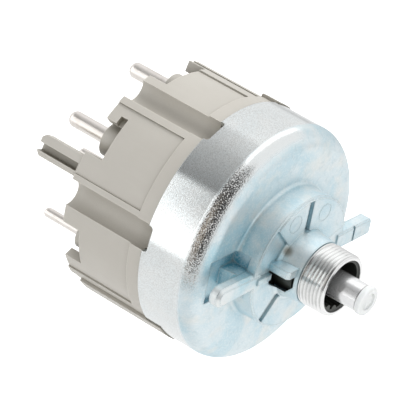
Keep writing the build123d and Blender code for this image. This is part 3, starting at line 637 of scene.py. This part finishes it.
@dataclass(frozen=True)
class PlasticFinish:
    """Moulded plastic with a faint spark-eroded grain.

    Args:
        name: The material's name.
        colour: The plastic's colour.
        worn: The paler colour of rubbed places and edges.
        deep: The colour of the painted shade in corners and creases.
        edge: The colour of the painted highlight on sharp edges.
        rough: The roughness.
        grain_mm: The size of the grain, in millimetres.
        relief_mm: The depth of the grain, in millimetres.
        edge_mm: The radius of the edges, in millimetres.
        through: How much light goes through, as subsurface weight.
        depth: How far light goes in, by colour, in metres.
        clouds: Its faint clouds.
    """

    name: str
    colour: Colour
    worn: Colour
    deep: Colour
    edge: Colour
    rough: float
    grain_mm: float = 0.28
    relief_mm: float = 0.006
    edge_mm: float = 0.15
    through: float = 0.0
    depth: Colour = (0.0012, 0.0012, 0.0013)
    clouds: Blotches = Blotches(11.0, 4.0, 0.35, 0.72, 0.45)

    def build(self) -> bpy.types.Material:
        """Makes the material.

        Returns:
            The finished material.
        """
        sheet = Sheet(self.name)
        cloud = sheet.blotches(self.clouds)
        colour = sheet.coat(self.colour, cloud, self.clouds.amount, self.worn)
        streak = sheet.ramp(sheet.lines(9.0, 1.6), 0.52, 0.70)
        colour = sheet.coat(colour, streak, 0.14, self.worn)
        # painted shade: corners, flutes and creases darken by how enclosed they are
        openness = sheet.crevice(6.0)
        hollow_shade = sheet.inverse(sheet.ramp(openness, 0.25, 0.97))
        colour = sheet.coat(colour, hollow_shade, 0.90, self.deep)
        crease_shade_mask = sheet.inverse(sheet.ramp(sheet.crevice(0.7), 0.20, 0.75))
        colour = sheet.coat(colour, crease_shade_mask, 0.60, self.deep)
        # painted highlight: sharp edges in the open are laid pale
        edge = sheet.math("MULTIPLY", sheet.edges(0.40, 0.10), sheet.ramp(openness, 0.55, 0.90))
        colour = sheet.coat(colour, edge, 0.85, self.edge)
        grain = sheet.noise(self.grain_mm, 3.0)
        rough = sheet.math("MULTIPLY_ADD", sheet.noise(2.4, 4.0), 0.16, self.rough - 0.08)
        normal = sheet.bump(grain, self.relief_mm, sheet.soft_edges(self.edge_mm))
        sheet.feed(sheet.shader, Base_Color=colour, Roughness=rough, Normal=normal)
        if self.through > 0:
            sheet.feed(sheet.shader, Subsurface_Weight=self.through, Subsurface_Radius=self.depth)
        return sheet.material


class Finishes:
    """The switch's finishes, each made once."""

    def __init__(self) -> None:
        """Makes the materials."""
        self.zinc = ZincFinish().build()
        self.neck = MetalFinish(
            "neck_steel",
            colour=(0.91, 0.915, 0.91),
            tint=(0.78, 0.79, 0.79),
            rough=0.18,
            line_mm=0.12,
            groove_shade_amount=0.22,
        ).build()
        self.shaft = MetalFinish(
            "shaft_steel",
            colour=(0.90, 0.905, 0.91),
            tint=(0.80, 0.81, 0.82),
            rough=0.22,
            line_mm=0.10,
            relief_mm=0.002,
            groove_shade_and_end_ring_colour=(0.10, 0.10, 0.10),
            end_y=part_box("shaft_tube")[0][1],
            bare=0.80,
        ).build()
        self.spring = MetalFinish(
            "spring_steel",
            colour=(0.42, 0.42, 0.43),
            tint=(0.30, 0.29, 0.28),
            rough=0.30,
        ).build()
        self.copper = MetalFinish(
            "copper_strip",
            colour=(0.72, 0.38, 0.23),
            tint=(0.48, 0.24, 0.15),
            rough=0.28,
        ).build()
        self.pin = MetalFinish(
            "tinned_pin",
            colour=(0.84, 0.80, 0.76),
            tint=(0.66, 0.61, 0.56),
            rough=0.30,
            line_mm=0.16,
        ).build()
        self.grey = PlasticFinish(
            "grey_plastic",
            colour=(0.535, 0.510, 0.460),
            worn=(0.585, 0.560, 0.510),
            deep=(0.22, 0.20, 0.155),
            edge=(0.74, 0.71, 0.64),
            rough=0.42,
        ).build()
        self.black = PlasticFinish(
            "black_plastic",
            colour=(0.034, 0.040, 0.032),
            worn=(0.060, 0.066, 0.052),
            deep=(0.010, 0.010, 0.008),
            edge=(0.09, 0.09, 0.08),
            rough=0.40,
        ).build()
        self.rotor = PlasticFinish(
            "rotor_plastic",
            colour=(0.055, 0.050, 0.046),
            worn=(0.09, 0.08, 0.07),
            deep=(0.02, 0.02, 0.018),
            edge=(0.13, 0.12, 0.11),
            rough=0.45,
        ).build()
        self.natural = PlasticFinish(
            "natural_plastic",
            colour=(0.68, 0.65, 0.56),
            worn=(0.76, 0.73, 0.65),
            deep=(0.36, 0.33, 0.27),
            edge=(0.80, 0.78, 0.70),
            rough=0.42,
        ).build()
        self.light = PlasticFinish(
            "light_plastic",
            colour=(0.84, 0.86, 0.86),
            worn=(0.90, 0.91, 0.90),
            deep=(0.78, 0.80, 0.79),
            edge=(0.93, 0.94, 0.94),
            rough=0.26,
            grain_mm=0.5,
            relief_mm=0.003,
            edge_mm=0.2,
            through=0.5,
        ).build()


def paint(nodes: list[str], material: bpy.types.Material) -> None:
    """Gives solids of the frame a material.

    Args:
        nodes: The solids' names.
        material: Their material.
    """
    for name in nodes:
        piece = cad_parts[name]
        if not piece.material_slots:
            piece.data.materials.append(material)
        for place in piece.material_slots:
            place.material = material
        log.info("%s wears %s", name, material.name)


def deselect() -> None:
    """Deselects everything, because an operator acts on all that is selected."""
    if bpy.context.mode != "OBJECT":
        bpy.ops.object.mode_set(mode="OBJECT")
    bpy.ops.object.select_all(action="DESELECT")


def settle(piece: bpy.types.Object) -> None:
    """Puts a piece's place into its mesh, so that its object sits at the origin.

    Args:
        piece: The piece.
    """
    deselect()
    piece.select_set(True)
    bpy.context.view_layer.objects.active = piece
    bpy.ops.object.transform_apply(location=True, rotation=True, scale=True)
    bpy.ops.object.mode_set(mode="EDIT")
    bpy.ops.mesh.select_all(action="SELECT")
    bpy.ops.mesh.remove_doubles(threshold=1e-6)
    bpy.ops.mesh.normals_make_consistent(inside=False)
    bpy.ops.object.mode_set(mode="OBJECT")


def apply_modifiers(piece: bpy.types.Object) -> None:
    """Applies all of a piece's modifiers in their order.

    Args:
        piece: The piece.
    """
    deselect()
    piece.select_set(True)
    bpy.context.view_layer.objects.active = piece
    for modifier in list(piece.modifiers):
        bpy.ops.object.modifier_apply(modifier=modifier.name)


def join(pieces: list[bpy.types.Object], name: str) -> bpy.types.Object:
    """Joins pieces into one object.

    Args:
        pieces: The pieces; the first one is kept.
        name: The joined object's name.

    Returns:
        The joined object.
    """
    deselect()
    for piece in pieces:
        piece.select_set(True)
    bpy.context.view_layer.objects.active = pieces[0]
    bpy.ops.object.join()
    pieces[0].name = name
    return pieces[0]


@dataclass(frozen=True)
class EndRing:
    """A smooth ring at an end of the thread.

    Args:
        inset: How far its middle lies from the neck's end.
        below_crest: How far it stays under the thread's crest.
        width: Its width along the neck.
    """

    inset: float
    below_crest: float
    width: float


@dataclass
class ThreadedNeck:
    """The turned neck: a bored tube, a thread that winds round it and a ring at each end.

    Args:
        crest: The thread's crest radius.
        root: The thread's root radius.
        bore: The bore's radius.
        rear: The rear end of the threaded part.
        front: The front end.
        pitch: The thread's pitch.
        flat: The width of a crest.
        tooth_half: Half the width of the thread's foot, as a share of the pitch.
        tooth_start: How far the thread begins from the rear end, as a share of the pitch.
        tooth_sunk: How deep the thread's foot lies in the tube.
        front_ring: The ring at the front end.
        rear_ring: The ring at the rear end.
        segments: The number of steps in a turn.
        ring_segments: The number of steps round a ring's own section.
        crease: The angle past which an edge stays sharp, in degrees.
    """

    crest: float = 8.0 * MM
    root: float = 7.42 * MM
    bore: float = 6.80 * MM
    rear: float = 3.6 * MM
    front: float = -3.6 * MM
    pitch: float = 1.0 * MM
    flat: float = 0.16 * MM
    tooth_half: float = 0.46
    tooth_start: float = 0.62
    tooth_sunk: float = 0.12 * MM
    front_ring: EndRing = EndRing(0.28 * MM, 0.22 * MM, 0.52 * MM)
    rear_ring: EndRing = EndRing(0.2 * MM, 0.12 * MM, 0.38 * MM)
    segments: int = 72
    ring_segments: int = 10
    crease: float = 38.0

    def core(self) -> bpy.types.Object:
        """Makes the tube under the thread.

        Returns:
            The tube.
        """
        deselect()
        length = self.rear - self.front
        bpy.ops.mesh.primitive_cylinder_add(
            vertices=self.segments,
            radius=self.root,
            depth=length,
            location=(0, (self.rear + self.front) / 2, 0),
            rotation=(math.radians(90), 0, 0),
        )
        tube = bpy.context.object
        bpy.ops.object.mode_set(mode="EDIT")
        bpy.ops.mesh.select_all(action="SELECT")
        bpy.ops.mesh.select_mode(type="FACE")
        bpy.ops.object.mode_set(mode="OBJECT")
        for face in tube.data.polygons:
            face.select = len(face.vertices) == self.segments
        bpy.ops.object.mode_set(mode="EDIT")
        bpy.ops.mesh.inset(thickness=self.root - self.bore, depth=0)
        bpy.ops.mesh.bridge_edge_loops()
        bpy.ops.object.mode_set(mode="OBJECT")
        return tube

    def ridge(self) -> bpy.types.Object:
        """Makes the thread's ridge, one tooth that winds round the tube.

        Returns:
            The ridge.
        """
        deselect()
        turns = round((self.rear - self.front) / self.pitch) - 1
        half = self.pitch * self.tooth_half
        start = self.rear - self.pitch * self.tooth_start
        bpy.ops.mesh.primitive_circle_add(
            vertices=4, radius=half, fill_type="NGON", location=(self.root, start, 0)
        )
        tooth = bpy.context.object
        high = self.crest - self.root
        places = (
            (-self.tooth_sunk, half),
            (-self.tooth_sunk, -half),
            (high, -self.flat / 2),
            (high, self.flat / 2),
        )
        for vertex, (out, along) in zip(tooth.data.vertices, places):
            vertex.co = (out, along, 0)
        bpy.ops.object.transform_apply(location=True, rotation=False, scale=False)
        screw = tooth.modifiers.new("thread", "SCREW")
        screw.axis = "Y"
        screw.angle = math.radians(360)
        screw.screw_offset = -self.pitch
        screw.iterations = turns
        screw.steps = self.segments
        screw.render_steps = self.segments
        screw.use_merge_vertices = True
        apply_modifiers(tooth)
        return tooth

    def lips(self) -> list[bpy.types.Object]:
        """Makes the smooth rings at both ends of the thread.

        Returns:
            The front and the rear ring.
        """
        made = []
        for place, ring in (
            (self.front + self.front_ring.inset, self.front_ring),
            (self.rear - self.rear_ring.inset, self.rear_ring),
        ):
            radius = self.crest - ring.below_crest
            deselect()
            bpy.ops.mesh.primitive_torus_add(
                major_segments=self.segments,
                minor_segments=self.ring_segments,
                major_radius=(radius + self.bore) / 2,
                minor_radius=(radius - self.bore) / 2,
                location=(0, place, 0),
                rotation=(math.radians(90), 0, 0),
            )
            band = bpy.context.object
            band.scale = (1, 1, ring.width / (radius - self.bore))
            made.append(band)
        return made

    def build(self) -> bpy.types.Object:
        """Makes the whole neck in place of the plain solid.

        Returns:
            The neck.
        """
        neck = join([self.core(), self.ridge(), *self.lips()], "neck_thread")
        settle(neck)
        bpy.ops.object.shade_smooth_by_angle(angle=math.radians(self.crease))
        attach(neck, Body.HOUSING.value)
        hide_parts("threaded_neck")
        return neck


@dataclass(frozen=True)
class Lamp:
    """A square soft lamp that looks at the object.

    Args:
        name: The lamp's name.
        toward: The direction from the object to the lamp.
        distance: The lamp's distance.
        size: The lamp's width.
        power: The lamp's power in watts.
    """

    name: str
    toward: Place
    distance: float
    size: float
    power: float

    def hang(self, centre: Vector) -> None:
        """Hangs the lamp.

        Args:
            centre: The point that it looks at.
        """
        data = bpy.data.lights.new(self.name, "AREA")
        data.shape = "SQUARE"
        data.size = self.size
        data.energy = self.power
        lamp = bpy.data.objects.new(self.name, data)
        bpy.context.scene.collection.objects.link(lamp)
        toward = Vector(self.toward)
        lamp.location = centre + toward.normalized() * self.distance
        lamp.rotation_euler = (-toward).to_track_quat("-Z", "Y").to_euler()
        lamp.visible_glossy = False
        log.info("%s hangs at %.2f m", self.name, self.distance)


@dataclass(frozen=True)
class Card:
    """A pale or dark card that only shows mirrored in the metal.

    Args:
        name: The card's name.
        toward: The direction from the object to the card.
        distance: The card's distance.
        width: The card's width.
        height: The card's height.
        shade: How bright the card's first side is mirrored.
        shade_far: How bright its other side is mirrored.
        up: The direction of the card's height.
        tint: The card's colour.
    """

    name: str
    toward: Place
    distance: float
    width: float
    height: float
    shade: float
    shade_far: float
    up: Place = (0.0, 0.0, 1.0)
    tint: Colour = (1.0, 1.0, 1.0)

    def hang(self, centre: Vector) -> None:
        """Hangs the card.

        Args:
            centre: The point that it faces.
        """
        deselect()
        bpy.ops.mesh.primitive_plane_add(size=1.0)
        card = bpy.context.object
        card.name = self.name
        toward = Vector(self.toward).normalized()
        side = Vector(self.up).cross(-toward).normalized()
        top = (-toward).cross(side).normalized()
        turn = Matrix((side, top, -toward)).transposed().to_4x4()
        place = Matrix.Translation(centre + toward * self.distance)
        card.matrix_world = place @ turn @ Matrix.Diagonal((self.width, self.height, 1, 1))
        material = bpy.data.materials.new(self.name)
        material.use_nodes = True
        tree = material.node_tree
        tree.nodes.clear()
        out = tree.nodes.new("ShaderNodeOutputMaterial")
        glow = tree.nodes.new("ShaderNodeEmission")
        glow.inputs["Color"].default_value = (*self.tint, 1)
        across = tree.nodes.new("ShaderNodeSeparateXYZ")
        tree.links.new(tree.nodes.new("ShaderNodeTexCoord").outputs["Object"], across.inputs[0])
        level = tree.nodes.new("ShaderNodeMapRange")
        for key, value in (
            ("From Min", -0.5),
            ("From Max", 0.5),
            ("To Min", self.shade),
            ("To Max", self.shade_far),
        ):
            level.inputs[key].default_value = value
        tree.links.new(across.outputs["X"], level.inputs["Value"])
        tree.links.new(level.outputs["Result"], glow.inputs["Strength"])
        tree.links.new(glow.outputs[0], out.inputs["Surface"])
        card.data.materials.append(material)
        card.visible_camera = False
        card.visible_diffuse = False
        card.visible_transmission = False
        card.visible_shadow = False
        log.info("%s hangs at %.2f m", self.name, self.distance)


LAMPS = (
    Lamp("key_lamp", (0.50, 0.10, 0.86), 0.9, 0.60, 5.4),
    Lamp("fill_lamp", (-0.95, -0.30, 0.05), 1.0, 0.70, 3.2),
    Lamp("front_lamp", (-0.10, -1.0, 0.30), 1.0, 0.70, 2.6),
)

CARDS = (
    Card("ceiling_card", (-0.14, 0.48, 0.86), 0.60, 0.60, 0.50, 0.70, 0.25, (0.0, 1.0, 0.0)),
    Card("top_card", (0.33, 0.24, 0.91), 0.56, 0.94, 0.21, 1.4, 1.4, (0.0, 1.0, 0.0)),
    Card("window_card", (-0.62, 0.66, 0.207), 0.62, 0.62, 0.683, 1.6, 1.6),
    Card("camera_card", (-0.85, -0.34, 0.42), 0.42, 0.87, 1.02, 0.08, 0.08),
    Card("warm_card", (-0.95, -0.08, 0.30), 0.38, 0.14, 0.28, 0.75, 0.75, tint=(1.0, 0.88, 0.76)),
)


@dataclass
class Studio:
    """The pale floor, the lamps, the cards that only show mirrored, and the camera.

    Args:
        centre: The point that the lamps look at.
        floor_z: The floor's height.
        eye: The camera's place.
        right: The direction to the camera's right.
        up: The direction up from the camera.
        lens_mm: The camera's focal length.
        sensor_mm: The width of its sensor.
        far: How far it sees, in metres.
        floor_size: The floor's width, in metres.
        floor_seen: How much the floor glows to the camera.
        floor_mirrored: How much the floor glows mirrored in metal.
        sky_level: How much the surround lights the object.
        sky_mirrored: How bright the surround is mirrored in metal.
    """

    centre: Vector = field(default_factory=lambda: Vector((0, 0.028, 0)))
    floor_z: float = -0.16
    eye: Vector = field(default_factory=lambda: Vector((-0.5975, -0.3606, 0.4170)))
    right: Vector = field(default_factory=lambda: Vector((0.626, -0.761, 0.1705)))
    up: Vector = field(default_factory=lambda: Vector((0.300, 0.437, 0.848)))
    lens_mm: float = 301.2
    sensor_mm: float = 36.0
    far: float = 20.0
    floor_size: float = 6.0
    floor_seen: float = 0.60
    floor_mirrored: float = 0.10
    sky_level: float = 0.56
    sky_mirrored: float = 0.92

    def floor(self) -> bpy.types.Object:
        """Lays the floor, which the camera sees as white with the object's soft shadow.

        Returns:
            The floor.
        """
        deselect()
        bpy.ops.mesh.primitive_plane_add(size=self.floor_size, location=(0, 0, self.floor_z))
        floor = bpy.context.object
        floor.name = "studio_floor"
        sheet = Sheet("studio_floor")
        sheet.feed(sheet.shader, Base_Color=(0.80, 0.80, 0.80, 1.0), Roughness=1.0)
        path = sheet.node("ShaderNodeLightPath")
        camera, through = path.outputs["Is Camera Ray"], path.outputs["Is Transmission Ray"]
        seen = sheet.math("MAXIMUM", camera, through)
        mirrored = sheet.math("MULTIPLY", path.outputs["Is Glossy Ray"], self.floor_mirrored)
        glow = sheet.math("MULTIPLY_ADD", seen, self.floor_seen, mirrored)
        sheet.feed(sheet.shader, Emission_Color=(1.0, 1.0, 1.0, 1.0), Emission_Strength=glow)
        floor.data.materials.append(sheet.material)
        return floor

    def world(self) -> None:
        """Sets the white surround, which lights the object at a plain level."""
        world = bpy.data.worlds.new("surround")
        bpy.context.scene.world = world
        world.use_nodes = True
        tree = world.node_tree
        tree.nodes.clear()
        out = tree.nodes.new("ShaderNodeOutputWorld")
        back = tree.nodes.new("ShaderNodeBackground")
        path = tree.nodes.new("ShaderNodeLightPath")
        seen = tree.nodes.new("ShaderNodeMath")
        seen.operation = "MAXIMUM"
        tree.links.new(path.outputs["Is Camera Ray"], seen.inputs[0])
        tree.links.new(path.outputs["Is Transmission Ray"], seen.inputs[1])
        mirrored = tree.nodes.new("ShaderNodeMath")
        mirrored.operation = "MULTIPLY_ADD"
        tree.links.new(path.outputs["Is Glossy Ray"], mirrored.inputs[0])
        mirrored.inputs[1].default_value = self.sky_mirrored - self.sky_level
        mirrored.inputs[2].default_value = self.sky_level
        strength = tree.nodes.new("ShaderNodeMath")
        strength.operation = "MAXIMUM"
        tree.links.new(seen.outputs[0], strength.inputs[0])
        tree.links.new(mirrored.outputs[0], strength.inputs[1])
        tree.links.new(strength.outputs[0], back.inputs["Strength"])
        back.inputs["Color"].default_value = (1, 1, 1, 1)
        tree.links.new(back.outputs[0], out.inputs["Surface"])

    def camera(self) -> bpy.types.Object:
        """Places the camera at the photograph's viewing angle.

        Returns:
            The camera.
        """
        data = bpy.data.cameras.new("camera")
        data.sensor_width = self.sensor_mm
        data.lens = self.lens_mm
        data.clip_end = self.far
        camera = bpy.data.objects.new("camera", data)
        bpy.context.scene.collection.objects.link(camera)
        right = self.right.normalized()
        back = right.cross(self.up).normalized()
        up = back.cross(right).normalized()
        turn = Matrix((right, up, back)).transposed().to_4x4()
        camera.matrix_world = Matrix.Translation(self.eye) @ turn
        bpy.context.scene.camera = camera
        return camera

    def build(self) -> None:
        """Sets up the whole studio."""
        self.floor()
        self.world()
        for item in (*LAMPS, *CARDS):
            item.hang(self.centre)
        self.camera()


def main() -> None:
    """Builds the switch's pieces and the studio round it."""
    logging.basicConfig(level=logging.INFO, format="%(name)s: %(message)s")
    scene = bpy.context.scene
    scene.view_settings.view_transform = "Standard"
    finishes = Finishes()
    coppers = ["fog_leaf_1", "fog_leaf_2", "fog_bridge"] + [f"contact_bridge_{k}" for k in BRIDGES]
    springs = ["detent_ring", "detent_ball_1", "detent_ball_2"]
    springs += ["detent_spring_1", "detent_spring_2", "pull_ball", "pull_spring", "spring_band"]
    springs += ["drive_key", "retaining_clip"] + [f"bridge_spring_{k}" for k in BRIDGES]
    for nodes, finish in (
        (["front_housing"], finishes.zinc),
        (["connector_body"], finishes.grey),
        ([f"pin_{k}" for k in PINS], finishes.pin),
        (["neck_liner"], finishes.black),
        (["shaft_tube"], finishes.shaft),
        (["light_rod"], finishes.light),
        (["rotor"], finishes.rotor),
        (["fog_slider"], finishes.natural),
        (coppers, finishes.copper),
        (springs, finishes.spring),
    ):
        paint(nodes, finish)
    neck = ThreadedNeck().build()
    neck.data.materials.append(finishes.neck)
    log.info("neck_thread has %d faces", len(neck.data.polygons))
    Studio().build()


if __name__ == "__main__":
    main()
